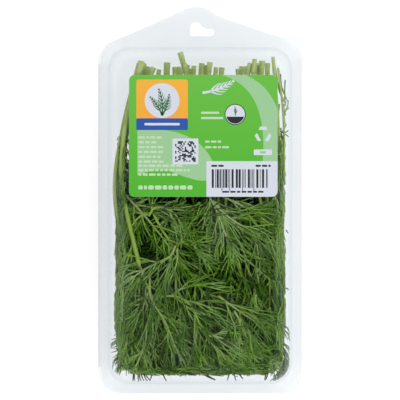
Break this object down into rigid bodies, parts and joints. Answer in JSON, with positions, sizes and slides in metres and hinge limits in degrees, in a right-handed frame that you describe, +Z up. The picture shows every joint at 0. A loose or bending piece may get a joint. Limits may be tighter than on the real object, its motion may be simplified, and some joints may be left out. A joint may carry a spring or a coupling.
{
  "type": "dill bunch in hinged clear pack",
  "caption": "Leafy dill sprigs lying loose in a clear hinged clamshell pack with a hang tab and a plain green label.",
  "frame": {"origin": "middle of the footprint, on the surface that the tray's floor rests on", "axes": "+Z up from the tray's floor to the lid's window, +Y along the pack to its hang tab and the cut stem ends, -X to the hinge"},
  "size_m": [0.102, 0.1932, 0.0263],
  "materials": {
    "clear_plastic": "clear glossy sheet, vacuum formed",
    "dill_green": "fresh green foliage with paler cut stems",
    "label_film": "printed self-adhesive film"
  },
  "bodies": {
    "pack": {"tray": "clear_plastic", "sprig_01": "dill_green", "sprig_02": "dill_green", "sprig_03": "dill_green", "sprig_04": "dill_green", "sprig_05": "dill_green", "sprig_06": "dill_green", "sprig_07": "dill_green", "sprig_08": "dill_green", "sprig_09": "dill_green", "sprig_10": "dill_green", "sprig_11": "dill_green", "sprig_12": "dill_green", "sprig_13": "dill_green", "sprig_14": "dill_green", "sprig_15": "dill_green", "sprig_16": "dill_green"},
    "lid": {"lid": "clear_plastic", "label": "label_film"}
  },
  "joints": [
    {"name": "lid_hinge", "type": "hinge", "parent": "pack", "child": "lid", "pos_m": [-0.0504, -0.007, 0.01415], "axis": [0, -1, 0], "range_deg": [0, 180]}
  ]
}
